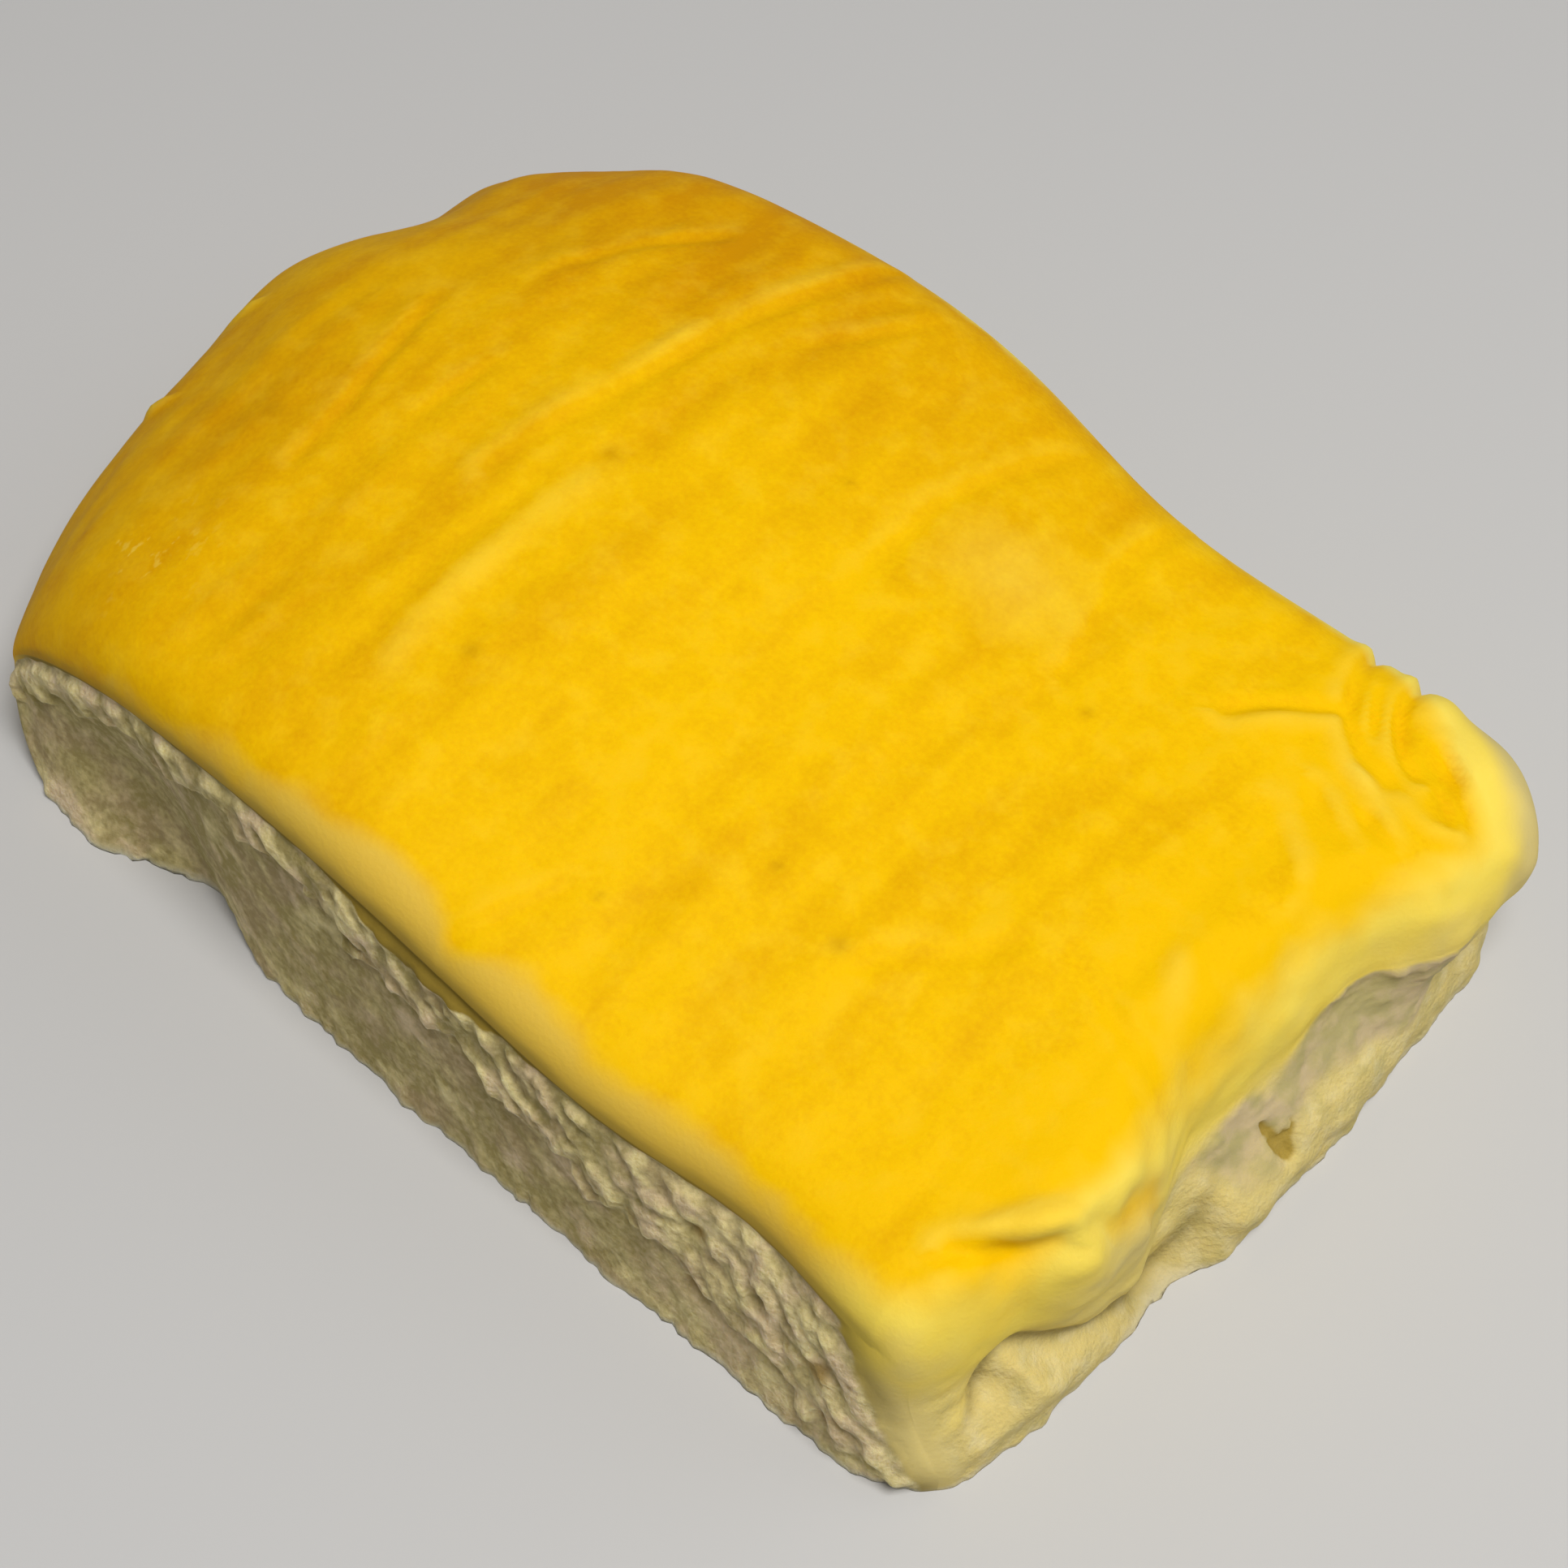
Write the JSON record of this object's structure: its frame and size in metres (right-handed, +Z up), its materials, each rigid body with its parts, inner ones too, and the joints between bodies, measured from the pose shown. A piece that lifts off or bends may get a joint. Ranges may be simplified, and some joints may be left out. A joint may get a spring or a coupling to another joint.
{
  "type": "coco bread",
  "caption": "Soft folded coco bread with a golden domed top, a rounded fold end, an open seam end and pale torn sides.",
  "frame": {"origin": "on the surface it lies on, under the middle of its bounding box", "axes": "+X along its length towards the open seam end, -X the rounded fold, -Y the torn side that the picture shows, +Z up out of the golden top"},
  "size_m": [0.1412, 0.094, 0.037],
  "materials": {
    "bread_crust": "soft satin bread crust, golden yellow on top, pale cream crumb on the torn sides"
  },
  "bodies": {
    "root": {"bread": "bread_crust"}
  },
  "joints": []
}
